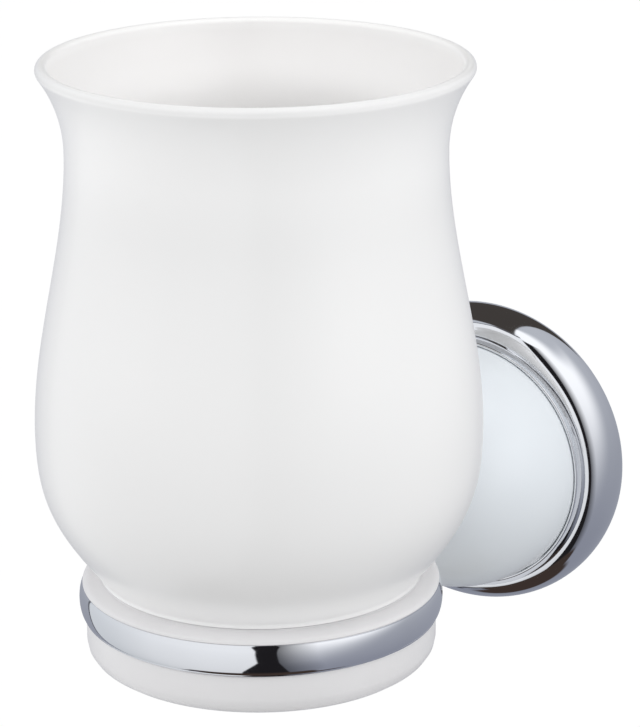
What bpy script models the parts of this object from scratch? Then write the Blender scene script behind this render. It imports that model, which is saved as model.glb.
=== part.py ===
"""Wall-mounted tumbler holder: a white ceramic tumbler in a chrome ring on a chrome and ceramic rosette.

Run with: blender --background --python part.py

Metres, +Z up. The wall is the plane Y = 0 and the room is on its -Y side. The origin is where the
rosette's axis meets the wall. Pieces on that axis are turned with their height as the distance
from the wall, and pieces on the cup's axis with their height measured from the middle of the ring.
"""

import math

import bmesh
import bpy
from mathutils import Vector

MM = 0.001

# Fits that several pieces share
SEAT_GAP = 0.3 * MM
CUT_OVERRUN = 2.0 * MM
MERGE_DISTANCE = 0.001 * MM
LARGE_STEPS = 40
SMALL_STEPS = 24
SHARP_ANGLE = math.radians(32)

# Holder ring, a convex band
RING_INNER_RADIUS = 30.4 * MM
RING_TOP_THICKNESS = 1.9 * MM
RING_BULGE_THICKNESS = 2.5 * MM
RING_BOTTOM_THICKNESS = 1.8 * MM
RING_HALF_HEIGHT = 3.0 * MM
RING_EDGE = 0.4 * MM

# Seat cup, the white moulding snapped into the ring
FLANGE_THICKNESS = 1.4 * MM
FLANGE_EDGE = 1.0 * MM
SEAT_WALL = 1.3 * MM
SEAT_LEAD_IN = 0.3 * MM
SEAT_DEPTH = 13.0 * MM
SEAT_FLOOR = 2.6 * MM
SKIRT_INSET = 0.1 * MM
SKIRT_CORNER = 3.4 * MM
DRAIN_RADIUS = 6.0 * MM

# Tumbler, heights from its foot
TUMBLER_HEIGHT = 106.4 * MM
LIP_RADIUS = 1.1 * MM
RIM_FLARE = 4.6 * MM
NECK_RADIUS = 33.4 * MM
NECK_DROP = 15.7 * MM
BELLY_RADIUS = 39.9 * MM
BELLY_HEIGHT = 40.2 * MM
COVE_LEDGE = 0.6 * MM
COVE_RADIUS = 1.8 * MM
COVE_ANGLE = math.radians(40)
FOOT_CORNER = 1.4 * MM
FOOT_RING_WIDTH = 4.0 * MM
FOOT_RECESS = 0.8 * MM
TUMBLER_WALL = 3.0 * MM
TUMBLER_FLOOR = 4.4 * MM
TUMBLER_FLOOR_CORNER = 6.0 * MM
SHOULDER_PULL_SHARE = 0.34
UNDERBELLY_START_SHARE = 0.43
UNDERBELLY_END_SHARE = 0.50
BORE_END_SHARE = 0.29

# Rosette, the chrome cover with its rolled rim, cove and bead
ROSETTE_RADIUS = 31.2 * MM
ROLL_RADIUS = 3.6 * MM
ROLL_DISTANCE = 2.6 * MM
CREASE_DEPTH = 0.5 * MM
CREASE_WIDTH = 0.5 * MM
ROSETTE_WALL = 2.3 * MM
COVE_WIDTH = 0.8 * MM
COVE_FOOT_WIDTH = 0.4 * MM
BEAD_HEIGHT = 1.7 * MM
BEAD_RADIUS = 0.5 * MM
STEP_WIDTH = 0.5 * MM
STEP_DROP = 0.6 * MM
WEB_THICKNESS = 2.8 * MM
WEB_RELIEF = 1.2 * MM

# Ceramic dome and the seal under it
DOME_LENGTH = 26.5 * MM
DOME_LAND_RADIUS = 7.6 * MM
DOME_BASE_WIDTH = 4.0 * MM
DOME_BASE_RECESS = 1.0 * MM
GASKET_THICKNESS = 0.6 * MM
GASKET_WIDTH = 3.4 * MM

# Arm: tip washer, collar and post
TIP_WASHER_THICKNESS = 0.8 * MM
COLLAR_RADIUS = 8.4 * MM
COLLAR_WAIST_RADIUS = 6.2 * MM
COLLAR_LENGTH = 3.6 * MM
POST_RADIUS = 5.2 * MM
POST_TAPER_LENGTH = 7.0 * MM
POST_WALL = 1.7 * MM

# Stud, washers and nut
STUD_RADIUS = 3.0 * MM
STUD_CHAMFER = 0.5 * MM
STUD_GRIP = 6.0 * MM
WASHER_RADIUS = 6.4 * MM
WASHER_THICKNESS = 0.8 * MM
LOCK_WASHER_RADIUS = 5.4 * MM
LOCK_WASHER_THICKNESS = 0.9 * MM
LOCK_WASHER_SLIT = 1.0 * MM
NUT_ACROSS_FLATS = 10.0 * MM
NUT_HEIGHT = 3.2 * MM
NUT_CHAMFER = 0.4 * MM

# Wall plate that the rosette slides over
PLATE_THICKNESS = 6.2 * MM
PLATE_EDGE = 0.4 * MM
PLATE_POCKET_CLEARANCE = 0.5 * MM
PLATE_POCKET_RADIUS = 7.4 * MM
GROOVE_DISTANCE = 2.4 * MM
GROOVE_DEPTH = 1.2 * MM
SCREW_SPACING = 28.0 * MM
BACK_RELIEF_DEPTH = 0.8 * MM

# Wall screws and plugs
WALL_SCREW_RADIUS = 2.0 * MM
WALL_SCREW_HEAD_RADIUS = 3.8 * MM
WALL_SCREW_SINK = 0.3 * MM
WALL_SCREW_DEPTH = 20.0 * MM
WALL_SCREW_POINT = 3.0 * MM
WALL_SCREW_TIP_RADIUS = 0.3 * MM
PLUG_RADIUS = 3.1 * MM
PLUG_DEPTH = 22.0 * MM
PLUG_MOUTH = 0.4 * MM
PLUG_SLIT = 0.8 * MM
PLUG_SLIT_SHARE = 0.6

# Ring screw and grub screw
RING_SCREW_RADIUS = 1.5 * MM
RING_SCREW_LENGTH = 10.0 * MM
RING_SCREW_HEAD_RADIUS = 2.7 * MM
RING_SCREW_SINK = 0.2 * MM
RING_SCREW_CHAMFER = 0.4 * MM
GRUB_RADIUS = 1.5 * MM
GRUB_SINK = 0.8 * MM
GRUB_SOCKET_RADIUS = 0.87 * MM
GRUB_SOCKET_DEPTH = 1.5 * MM

# Radii that follow from the ring, the tumbler and the rosette
RING_TOP_RADIUS = RING_INNER_RADIUS + RING_TOP_THICKNESS
RING_WIDEST_RADIUS = RING_INNER_RADIUS + RING_BULGE_THICKNESS
RING_BOTTOM_RADIUS = RING_INNER_RADIUS + RING_BOTTOM_THICKNESS
GROOVE_RADIUS = RING_INNER_RADIUS - SEAT_GAP
SEAT_INNER_RADIUS = GROOVE_RADIUS - SEAT_WALL
SKIRT_RADIUS = RING_BOTTOM_RADIUS - SKIRT_INSET
FOOT_RADIUS = SEAT_INNER_RADIUS - SEAT_GAP
RIM_RADIUS = NECK_RADIUS + RIM_FLARE
CREST_RADIUS = ROSETTE_RADIUS - ROLL_RADIUS
CREASE_RADIUS = CREST_RADIUS - CREASE_WIDTH
BEAD_OUTER_RADIUS = CREASE_RADIUS - COVE_WIDTH - STEP_WIDTH
DOME_SEAT_RADIUS = BEAD_OUTER_RADIUS - 2 * BEAD_RADIUS
DOME_RADIUS = DOME_SEAT_RADIUS - SEAT_GAP
CAVITY_RADIUS = CREASE_RADIUS - ROSETTE_WALL
PLATE_RADIUS = CAVITY_RADIUS - SEAT_GAP
STUD_BORE_RADIUS = STUD_RADIUS + SEAT_GAP
WALL_HOLE_RADIUS = WALL_SCREW_RADIUS + SEAT_GAP

# Levels on the cup's axis, from the middle of the ring, and the neck's from the tumbler's foot
FLANGE_BOTTOM = RING_HALF_HEIGHT + SEAT_GAP
FLANGE_TOP = FLANGE_BOTTOM + FLANGE_THICKNESS
SEAT_FLOOR_TOP = FLANGE_TOP - SEAT_DEPTH
TUMBLER_FOOT = SEAT_FLOOR_TOP + SEAT_GAP
NECK_HEIGHT = TUMBLER_HEIGHT - NECK_DROP

# Levels on the wall's axis, from the wall
CAVITY_DEPTH = PLATE_THICKNESS + SEAT_GAP
WEB_FRONT = CAVITY_DEPTH + WEB_THICKNESS
GASKET_BACK = WEB_FRONT + SEAT_GAP
DOME_BASE = GASKET_BACK + GASKET_THICKNESS + SEAT_GAP
DOME_TIP = DOME_BASE + DOME_LENGTH
TIP_WASHER_BACK = DOME_TIP + SEAT_GAP
COLLAR_BACK = TIP_WASHER_BACK + TIP_WASHER_THICKNESS + SEAT_GAP
POST_BACK = COLLAR_BACK + COLLAR_LENGTH + SEAT_GAP
STUD_BORE_END = POST_BACK + STUD_GRIP + SEAT_GAP
SCREW_BORE_END = STUD_BORE_END + POST_WALL
RING_SCREW_END = SCREW_BORE_END + SEAT_GAP
RING_SCREW_FRONT = RING_SCREW_END + RING_SCREW_LENGTH
CUP_REACH = RING_SCREW_FRONT + RING_SCREW_SINK + RING_INNER_RADIUS
RING_BACK = CUP_REACH - RING_WIDEST_RADIUS
WASHER_FRONT = CAVITY_DEPTH + WEB_RELIEF - SEAT_GAP
LOCK_WASHER_FRONT = WASHER_FRONT - WASHER_THICKNESS - SEAT_GAP
NUT_FRONT = LOCK_WASHER_FRONT - LOCK_WASHER_THICKNESS - SEAT_GAP
NUT_BACK = NUT_FRONT - NUT_HEIGHT
PLATE_POCKET_FLOOR = NUT_BACK - PLATE_POCKET_CLEARANCE


def arc(centre, radius, start, end, steps):
    """Points round part of a circle in the outline's plane, between two angles in degrees."""
    points = []
    for step in range(steps + 1):
        angle = math.radians(start + (end - start) * step / steps)
        points.append((centre[0] + radius * math.cos(angle), centre[1] + radius * math.sin(angle)))
    return points


def bezier(start, pull_start, pull_end, end, steps):
    """Points along a cubic curve, without its first point."""
    corners = [Vector(point) for point in (start, pull_start, pull_end, end)]
    points = []
    for step in range(1, steps + 1):
        t = step / steps
        weights = ((1 - t) ** 3, 3 * t * (1 - t) ** 2, 3 * t * t * (1 - t), t ** 3)
        point = sum((corner * weight for corner, weight in zip(corners, weights)), Vector((0, 0)))
        points.append(tuple(point))
    return points


def finish(name, bm, parent, material):
    """Turns a bmesh into a named object with outward faces, smooth where it is round."""
    bmesh.ops.recalc_face_normals(bm, faces=bm.faces)
    mesh = bpy.data.meshes.new(name)
    bm.to_mesh(mesh)
    bm.free()
    mesh.shade_smooth()
    mesh.set_sharp_from_angle(angle=SHARP_ANGLE)
    if material:
        mesh.materials.append(material)
    piece = bpy.data.objects.new(name, mesh)
    piece.parent = parent
    bpy.context.scene.collection.objects.link(piece)
    return piece


def turned(name, outline, parent, material=None, steps=LARGE_STEPS):
    """A solid of revolution about local Z. An outline that starts on the axis must also end on it."""
    bm = bmesh.new()
    points = [bm.verts.new((radius, 0, height)) for radius, height in outline]
    edges = [bm.edges.new(pair) for pair in zip(points, points[1:])]
    if outline[0][0] > 0:
        edges.append(bm.edges.new((points[-1], points[0])))
    bmesh.ops.spin(bm, geom=points + edges, cent=(0, 0, 0), axis=(0, 0, 1),
                   angle=math.tau, steps=steps, use_merge=True)
    bmesh.ops.remove_doubles(bm, verts=bm.verts, dist=MERGE_DISTANCE)
    return finish(name, bm, parent, material)


def prism(name, outline, bottom, top, parent, material=None):
    """An outline in local X and Y, extruded from one height to another."""
    bm = bmesh.new()
    face = bm.faces.new([bm.verts.new((x, y, bottom)) for x, y in outline])
    extruded = bmesh.ops.extrude_face_region(bm, geom=[face])["geom"]
    moved = [item for item in extruded if isinstance(item, bmesh.types.BMVert)]
    bmesh.ops.translate(bm, verts=moved, vec=(0, 0, top - bottom))
    return finish(name, bm, parent, material)


def hexagon(corner_radius):
    return arc((0, 0), corner_radius, 0, 300, 5)


def rectangle(width, length):
    x, y = width / 2, length / 2
    return [(-x, -y), (x, -y), (x, y), (-x, y)]


def cut(piece, cutter):
    """Takes the cutter's shape out of the piece and keeps the cutter as a wire guide."""
    cutter.hide_render = True
    cutter.display_type = "WIRE"
    modifier = piece.modifiers.new(cutter.name, "BOOLEAN")
    modifier.operation = "DIFFERENCE"
    modifier.solver = "EXACT"
    modifier.object = cutter


def finish_material(name, colour, roughness, metallic):
    material = bpy.data.materials.new(name)
    material.use_nodes = True
    surface = material.node_tree.nodes["Principled BSDF"]
    surface.inputs["Base Color"].default_value = (*colour, 1)
    surface.inputs["Roughness"].default_value = roughness
    surface.inputs["Metallic"].default_value = metallic
    return material


def chrome(name):
    return finish_material(name, (0.80, 0.81, 0.84), 0.05, 1)


def glazed_ceramic(name):
    return finish_material(name, (0.90, 0.90, 0.89), 0.08, 0)


def moulding(name, colour=(0.82, 0.82, 0.81)):
    return finish_material(name, colour, 0.35, 0)


def steel(name):
    return finish_material(name, (0.62, 0.62, 0.60), 0.30, 1)


def empty(name, location, turn=0):
    """A frame that pieces hang on. A quarter turn about X lays local Z along -Y, out from the wall."""
    frame = bpy.data.objects.new(name, None)
    frame.location = location
    frame.rotation_euler.x = turn
    bpy.context.scene.collection.objects.link(frame)
    return frame


def tumbler_skin(cove_foot):
    """The tumbler's outside from the cove above its foot, round the belly and up over the lip."""
    cove_centre = (FOOT_RADIUS + COVE_LEDGE + COVE_RADIUS, cove_foot)
    cove = arc(cove_centre, COVE_RADIUS, 180, 180 - math.degrees(COVE_ANGLE), 3)
    low = cove[-1]
    rise = BELLY_HEIGHT - low[1]
    end_pull = rise * UNDERBELLY_END_SHARE
    low_pull = (low[0] + end_pull * math.sin(COVE_ANGLE), low[1] + end_pull * math.cos(COVE_ANGLE))
    belly = (BELLY_RADIUS, BELLY_HEIGHT)
    underbelly = bezier(low, low_pull, (BELLY_RADIUS, BELLY_HEIGHT - rise * UNDERBELLY_START_SHARE),
                        belly, 6)
    pull = (NECK_HEIGHT - BELLY_HEIGHT) * SHOULDER_PULL_SHARE
    shoulder = bezier(belly, (BELLY_RADIUS, BELLY_HEIGHT + pull),
                      (NECK_RADIUS, NECK_HEIGHT - pull), (NECK_RADIUS, NECK_HEIGHT), 8)
    return cove + underbelly + shoulder[:-1] + flare_and_lip()


def flare_and_lip():
    """The flare's arc leaves the neck upright and meets the lip's round without a corner."""
    lip = (RIM_RADIUS - LIP_RADIUS, TUMBLER_HEIGHT - LIP_RADIUS)
    out, rise = lip[0] - NECK_RADIUS, lip[1] - NECK_HEIGHT
    flare_radius = (out ** 2 + rise ** 2 - LIP_RADIUS ** 2) / (2 * (out + LIP_RADIUS))
    lean = math.degrees(math.atan2(rise, flare_radius - out))
    flare = arc((NECK_RADIUS + flare_radius, NECK_HEIGHT), flare_radius, 180, 180 - lean, 4)
    return flare + arc(lip, LIP_RADIUS, -lean, 180, 7)[1:]


def tumbler_bore(mouth):
    """The tumbler's inside from the lip down to the middle of its floor."""
    neck = (NECK_RADIUS - TUMBLER_WALL, NECK_HEIGHT)
    belly = (BELLY_RADIUS - TUMBLER_WALL, BELLY_HEIGHT)
    mouth_pull = (mouth[1] - NECK_HEIGHT) / 2
    points = bezier(mouth, (neck[0] + mouth_pull / 2, mouth[1] - mouth_pull),
                    (neck[0], NECK_HEIGHT + mouth_pull), neck, 2)
    pull = (NECK_HEIGHT - BELLY_HEIGHT) * SHOULDER_PULL_SHARE
    points += bezier(neck, (neck[0], neck[1] - pull), (belly[0], belly[1] + pull), belly, 5)
    corner = (FOOT_RADIUS - TUMBLER_WALL - TUMBLER_FLOOR_CORNER, TUMBLER_FLOOR + TUMBLER_FLOOR_CORNER)
    low = (corner[0] + TUMBLER_FLOOR_CORNER, corner[1])
    drop = BELLY_HEIGHT - low[1]
    points += bezier(belly, (belly[0], belly[1] - drop * UNDERBELLY_START_SHARE),
                     (low[0] + TUMBLER_WALL / 2, low[1] + drop * BORE_END_SHARE), low, 5)
    points += arc(corner, TUMBLER_FLOOR_CORNER, 0, -90, 3)[1:]
    return points + [(0, TUMBLER_FLOOR)]


def make_tumbler(parent):
    """The ceramic cup: foot ring, foot, cove, belly, neck, flare and rounded lip, then the inside."""
    ring_inner = FOOT_RADIUS - FOOT_CORNER - FOOT_RING_WIDTH
    outline = [(0, FOOT_RECESS), (ring_inner - FOOT_RECESS, FOOT_RECESS), (ring_inner, 0)]
    corner = (FOOT_RADIUS - FOOT_CORNER, FOOT_CORNER)
    outline += arc(corner, FOOT_CORNER, -90, 0, 2)
    cove_foot = FLANGE_TOP - TUMBLER_FOOT + SEAT_GAP
    outline += [(FOOT_RADIUS, cove_foot)]
    outline += tumbler_skin(cove_foot)
    outline += tumbler_bore(outline[-1])
    return turned("tumbler", outline, parent, glazed_ceramic("tumbler_glaze"))


def make_seat_cup(parent):
    """The moulded cup that snaps into the ring, with a flange on top and a wider skirt below."""
    skirt_top = -FLANGE_BOTTOM
    bottom = SEAT_FLOOR_TOP - SEAT_FLOOR
    outline = [(SEAT_INNER_RADIUS, SEAT_FLOOR_TOP), (DRAIN_RADIUS, SEAT_FLOOR_TOP)]
    outline += [(DRAIN_RADIUS, bottom)]
    corner = (SKIRT_RADIUS - SKIRT_CORNER, bottom + SKIRT_CORNER)
    outline += arc(corner, SKIRT_CORNER, -90, 0, 4)
    outline += [(SKIRT_RADIUS, skirt_top - SEAT_LEAD_IN), (SKIRT_RADIUS - SEAT_LEAD_IN, skirt_top)]
    outline += [(GROOVE_RADIUS, skirt_top), (GROOVE_RADIUS, FLANGE_BOTTOM)]
    outline += [(RING_TOP_RADIUS, FLANGE_BOTTOM)]
    outline += arc((RING_TOP_RADIUS - FLANGE_EDGE, FLANGE_TOP - FLANGE_EDGE), FLANGE_EDGE, 0, 90, 3)
    outline += [(SEAT_INNER_RADIUS + SEAT_LEAD_IN, FLANGE_TOP)]
    outline += [(SEAT_INNER_RADIUS, FLANGE_TOP - SEAT_LEAD_IN)]
    return turned("seat_cup", outline, parent, moulding("seat_moulding"))


def make_holder_ring(parent):
    """The chrome band: flat inside, bulged outside, a little narrower at its lower edge."""
    top, bottom = RING_HALF_HEIGHT, -RING_HALF_HEIGHT
    outline = [(RING_INNER_RADIUS, bottom), (RING_BOTTOM_RADIUS - RING_EDGE, bottom)]
    outline += [(RING_BOTTOM_RADIUS, bottom + RING_EDGE)]
    bulge = (8 * RING_WIDEST_RADIUS - RING_BOTTOM_RADIUS - RING_TOP_RADIUS) / 6
    outline += bezier(outline[-1], (bulge, bottom / 2), (bulge, top / 2),
                      (RING_TOP_RADIUS, top - RING_EDGE), 6)
    outline += [(RING_TOP_RADIUS - RING_EDGE, top), (RING_INNER_RADIUS, top)]
    return turned("holder_ring", outline, parent, chrome("ring_chrome"))


def make_rosette(parent):
    """The cover: rolled rim, crease, cove, bead and dome seat outside, and the plate's cavity inside."""
    roll_centre = (CREST_RADIUS, ROLL_DISTANCE)
    wall_angle = -math.degrees(math.asin(ROLL_DISTANCE / ROLL_RADIUS))
    outline = arc(roll_centre, ROLL_RADIUS, wall_angle, 90, 10)
    crest = ROLL_DISTANCE + ROLL_RADIUS
    crease = (CREASE_RADIUS, crest - CREASE_DEPTH)
    bead_centre = (DOME_SEAT_RADIUS + BEAD_RADIUS, WEB_FRONT + BEAD_HEIGHT - BEAD_RADIUS)
    cove_top = (BEAD_OUTER_RADIUS + STEP_WIDTH, bead_centre[1] - STEP_DROP)
    outline += [crease]
    outline += bezier(crease, (crease[0] - COVE_FOOT_WIDTH, crease[1] + COVE_FOOT_WIDTH),
                      (cove_top[0], (crease[1] + cove_top[1]) / 2), cove_top, 4)
    outline += [(BEAD_OUTER_RADIUS, cove_top[1])]
    outline += arc(bead_centre, BEAD_RADIUS, 0, 180, 4)
    outline += [(DOME_SEAT_RADIUS, WEB_FRONT), (STUD_BORE_RADIUS, WEB_FRONT)]
    relief_radius = WASHER_RADIUS + SEAT_GAP
    outline += [(STUD_BORE_RADIUS, CAVITY_DEPTH + WEB_RELIEF), (relief_radius, CAVITY_DEPTH + WEB_RELIEF)]
    outline += [(relief_radius, CAVITY_DEPTH), (CAVITY_RADIUS, CAVITY_DEPTH), (CAVITY_RADIUS, 0)]
    rosette = turned("rosette", outline, parent, chrome("rosette_chrome"))
    reach = ROSETTE_RADIUS + CUT_OVERRUN
    hole = turned("grub_hole", [(0, -reach), (GRUB_RADIUS + SEAT_GAP, -reach),
                                (GRUB_RADIUS + SEAT_GAP, -CAVITY_RADIUS + CUT_OVERRUN),
                                (0, -CAVITY_RADIUS + CUT_OVERRUN)], None, steps=SMALL_STEPS)
    hole.location.y = -GROOVE_DISTANCE
    cut(rosette, hole)
    return rosette


def make_dome(parent):
    """The porcelain dome: half an ellipsoid with a flat land at its tip and a bore for the stud."""
    bore = STUD_BORE_RADIUS
    base_inner = DOME_RADIUS - DOME_BASE_WIDTH
    recess = DOME_BASE + DOME_BASE_RECESS
    land_angle = math.acos(DOME_LAND_RADIUS / DOME_RADIUS)
    length = DOME_LENGTH / math.sin(land_angle)
    outline = [(bore, recess), (base_inner - DOME_BASE_RECESS, recess), (base_inner, DOME_BASE)]
    for radius, height in arc((0, 0), 1, 0, math.degrees(land_angle), 10):
        outline.append((radius * DOME_RADIUS, DOME_BASE + height * length))
    outline += [(bore, DOME_TIP)]
    return turned("dome", outline, parent, glazed_ceramic("dome_glaze"))


def make_flat_ring(name, inner_radius, outer_radius, back, thickness, parent, material, steps=LARGE_STEPS):
    outline = [(inner_radius, back), (outer_radius, back), (outer_radius, back + thickness)]
    outline += [(inner_radius, back + thickness)]
    return turned(name, outline, parent, material, steps)


def make_arm_collar(parent):
    """The turned collar that covers the joint between the dome's tip and the post."""
    front = COLLAR_BACK + COLLAR_LENGTH
    foot = COLLAR_LENGTH / 3
    outline = [(STUD_BORE_RADIUS, COLLAR_BACK)]
    outline += arc((COLLAR_RADIUS - foot / 2, COLLAR_BACK + foot / 2), foot / 2, -90, 90, 4)
    waist = COLLAR_BACK + foot
    outline += bezier(outline[-1], (COLLAR_WAIST_RADIUS, waist), (COLLAR_WAIST_RADIUS, waist),
                      (COLLAR_WAIST_RADIUS, front), 3)
    outline += [(STUD_BORE_RADIUS, front)]
    return turned("arm_collar", outline, parent, chrome("collar_chrome"), SMALL_STEPS)


def make_arm_post(parent, cup_axis):
    """The post from collar to ring, bored for the stud at one end and the ring's screw at the other."""
    end = CUP_REACH - RING_INNER_RADIUS
    screw_bore = RING_SCREW_RADIUS + SEAT_GAP
    end_radius = RING_HALF_HEIGHT - SEAT_GAP
    taper_start = (POST_RADIUS, end - POST_TAPER_LENGTH)
    outline = [(0, STUD_BORE_END), (STUD_BORE_RADIUS, STUD_BORE_END), (STUD_BORE_RADIUS, POST_BACK)]
    outline += [(POST_RADIUS, POST_BACK), taper_start]
    outline += bezier(taper_start, (end_radius, taper_start[1]), (end_radius, end - POST_TAPER_LENGTH / 2),
                      (end_radius, end), 4)
    outline += [(screw_bore, end), (screw_bore, SCREW_BORE_END), (0, SCREW_BORE_END)]
    post = turned("arm_post", outline, parent, chrome("post_chrome"), SMALL_STEPS)
    saddle_radius = RING_WIDEST_RADIUS + SEAT_GAP
    reach = POST_RADIUS + CUT_OVERRUN
    saddle = [(0, -reach), (saddle_radius, -reach), (saddle_radius, reach), (0, reach)]
    cut(post, turned("ring_saddle", saddle, cup_axis))
    return post


def screw_outline(front, end, head_radius, radius, point_length, tip_radius):
    """A countersunk screw pointing down its axis: flat head, cone, shank and point."""
    outline = [(0, front), (head_radius, front), (radius, front - head_radius + radius)]
    return outline + [(radius, end + point_length), (tip_radius, end), (0, end)]


def make_ring_screw(parent, ring):
    """The countersunk screw from inside the ring into the post, and its hole through the ring."""
    outline = screw_outline(RING_SCREW_FRONT, RING_SCREW_END, RING_SCREW_HEAD_RADIUS, RING_SCREW_RADIUS,
                            RING_SCREW_CHAMFER, RING_SCREW_RADIUS - RING_SCREW_CHAMFER)
    screw = turned("ring_screw", outline, parent, steel("ring_screw_steel"), SMALL_STEPS)
    front = RING_SCREW_FRONT + CUT_OVERRUN
    back = RING_BACK - CUT_OVERRUN
    cone = RING_SCREW_HEAD_RADIUS - RING_SCREW_RADIUS
    hole = [(0, front), (RING_SCREW_HEAD_RADIUS + SEAT_GAP, front)]
    hole += [(RING_SCREW_HEAD_RADIUS + SEAT_GAP, RING_SCREW_FRONT)]
    hole += [(RING_SCREW_RADIUS + SEAT_GAP, RING_SCREW_FRONT - cone), (RING_SCREW_RADIUS + SEAT_GAP, back)]
    hole += [(0, back)]
    cut(ring, turned("ring_screw_hole", hole, parent, steps=SMALL_STEPS))
    return screw


def make_stud(parent):
    """The threaded stud that clamps post, collar, dome and rosette together."""
    front = POST_BACK + STUD_GRIP
    back = NUT_BACK
    outline = [(0, back), (STUD_RADIUS - STUD_CHAMFER, back), (STUD_RADIUS, back + STUD_CHAMFER)]
    outline += [(STUD_RADIUS, front - STUD_CHAMFER), (STUD_RADIUS - STUD_CHAMFER, front), (0, front)]
    return turned("stud", outline, parent, steel("stud_steel"), SMALL_STEPS)


def make_stud_nut(parent):
    """A thin hexagon nut with its corners turned off on both faces."""
    corner_radius = NUT_ACROSS_FLATS / math.sqrt(3)
    back = NUT_BACK
    nut = prism("stud_nut", hexagon(corner_radius), back, NUT_FRONT, parent, steel("nut_steel"))
    bore = [(0, back - CUT_OVERRUN), (STUD_BORE_RADIUS, back - CUT_OVERRUN)]
    bore += [(STUD_BORE_RADIUS, NUT_FRONT + CUT_OVERRUN), (0, NUT_FRONT + CUT_OVERRUN)]
    cut(nut, turned("nut_bore", bore, parent, steps=SMALL_STEPS))
    wide = corner_radius + CUT_OVERRUN
    flat = corner_radius - NUT_CHAMFER
    trim = [(flat, back - CUT_OVERRUN), (wide, back - CUT_OVERRUN), (wide, NUT_FRONT + CUT_OVERRUN)]
    trim += [(flat, NUT_FRONT + CUT_OVERRUN), (flat, NUT_FRONT)]
    trim += [(corner_radius + MERGE_DISTANCE, NUT_FRONT - NUT_CHAMFER)]
    trim += [(corner_radius + MERGE_DISTANCE, back + NUT_CHAMFER), (flat, back)]
    cut(nut, turned("nut_corner_trim", trim, parent, steps=SMALL_STEPS))
    return nut


def make_lock_washer(parent):
    """A split ring under the nut."""
    back = LOCK_WASHER_FRONT - LOCK_WASHER_THICKNESS
    washer = make_flat_ring("lock_washer", STUD_BORE_RADIUS, LOCK_WASHER_RADIUS, back,
                            LOCK_WASHER_THICKNESS, parent, steel("lock_washer_steel"), SMALL_STEPS)
    slit = prism("lock_washer_slit", rectangle(LOCK_WASHER_SLIT, LOCK_WASHER_RADIUS), back - CUT_OVERRUN,
                 LOCK_WASHER_FRONT + CUT_OVERRUN, parent)
    slit.location.y = -LOCK_WASHER_RADIUS
    cut(washer, slit)
    return washer


def make_wall_plate(parent):
    """The plate screwed to the wall: grooved edge for the grub screw, and a pocket round the nut."""
    groove_low = GROOVE_DISTANCE - GROOVE_DEPTH
    groove_high = GROOVE_DISTANCE + GROOVE_DEPTH
    outline = [(0, 0), (PLATE_RADIUS - PLATE_EDGE, 0), (PLATE_RADIUS, PLATE_EDGE)]
    outline += [(PLATE_RADIUS, groove_low)]
    outline += [(PLATE_RADIUS - GROOVE_DEPTH, GROOVE_DISTANCE), (PLATE_RADIUS, groove_high)]
    outline += [(PLATE_RADIUS, PLATE_THICKNESS - PLATE_EDGE), (PLATE_RADIUS - PLATE_EDGE, PLATE_THICKNESS)]
    outline += [(PLATE_POCKET_RADIUS, PLATE_THICKNESS), (PLATE_POCKET_RADIUS, PLATE_POCKET_FLOOR)]
    outline += [(0, PLATE_POCKET_FLOOR)]
    plate = turned("wall_plate", outline, parent, steel("plate_zinc"))
    head = WALL_SCREW_HEAD_RADIUS + SEAT_GAP
    cone = WALL_SCREW_HEAD_RADIUS - WALL_SCREW_RADIUS
    head_front = PLATE_THICKNESS - WALL_SCREW_SINK
    relief = PLUG_RADIUS + SEAT_GAP
    hole = [(0, PLATE_THICKNESS + CUT_OVERRUN), (head, PLATE_THICKNESS + CUT_OVERRUN), (head, head_front)]
    hole += [(WALL_HOLE_RADIUS, head_front - cone), (WALL_HOLE_RADIUS, BACK_RELIEF_DEPTH)]
    hole += [(relief, BACK_RELIEF_DEPTH), (relief, -CUT_OVERRUN), (0, -CUT_OVERRUN)]
    for name, side in (("upper", 1), ("lower", -1)):
        cutter = turned(f"{name}_screw_hole", hole, parent, steps=SMALL_STEPS)
        cutter.location.y = side * SCREW_SPACING / 2
        cut(plate, cutter)
    return plate


def make_wall_screw(name, side, parent):
    """A countersunk wall screw through the plate."""
    outline = screw_outline(PLATE_THICKNESS - WALL_SCREW_SINK, -WALL_SCREW_DEPTH, WALL_SCREW_HEAD_RADIUS,
                            WALL_SCREW_RADIUS, WALL_SCREW_POINT, WALL_SCREW_TIP_RADIUS)
    screw = turned(name, outline, parent, steel(f"{name}_steel"), SMALL_STEPS)
    screw.location.y = side * SCREW_SPACING / 2
    return screw


def make_wall_plug(name, side, parent):
    """The plastic plug in the wall, slit at its far end so that the screw spreads it."""
    mouth = -SEAT_GAP
    end = mouth - PLUG_DEPTH
    bore = WALL_HOLE_RADIUS
    outline = [(bore, mouth), (bore, end), (PLUG_RADIUS - PLUG_MOUTH, end), (PLUG_RADIUS, end + PLUG_MOUTH)]
    outline += [(PLUG_RADIUS, mouth)]
    plug = turned(name, outline, parent, moulding(f"{name}_plastic", (0.45, 0.46, 0.48)), SMALL_STEPS)
    plug.location.y = side * SCREW_SPACING / 2
    slit = prism(f"{name}_slit", rectangle(PLUG_SLIT, 2 * PLUG_RADIUS + CUT_OVERRUN), end - CUT_OVERRUN,
                 end + PLUG_DEPTH * PLUG_SLIT_SHARE, plug)
    cut(plug, slit)
    return plug


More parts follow.
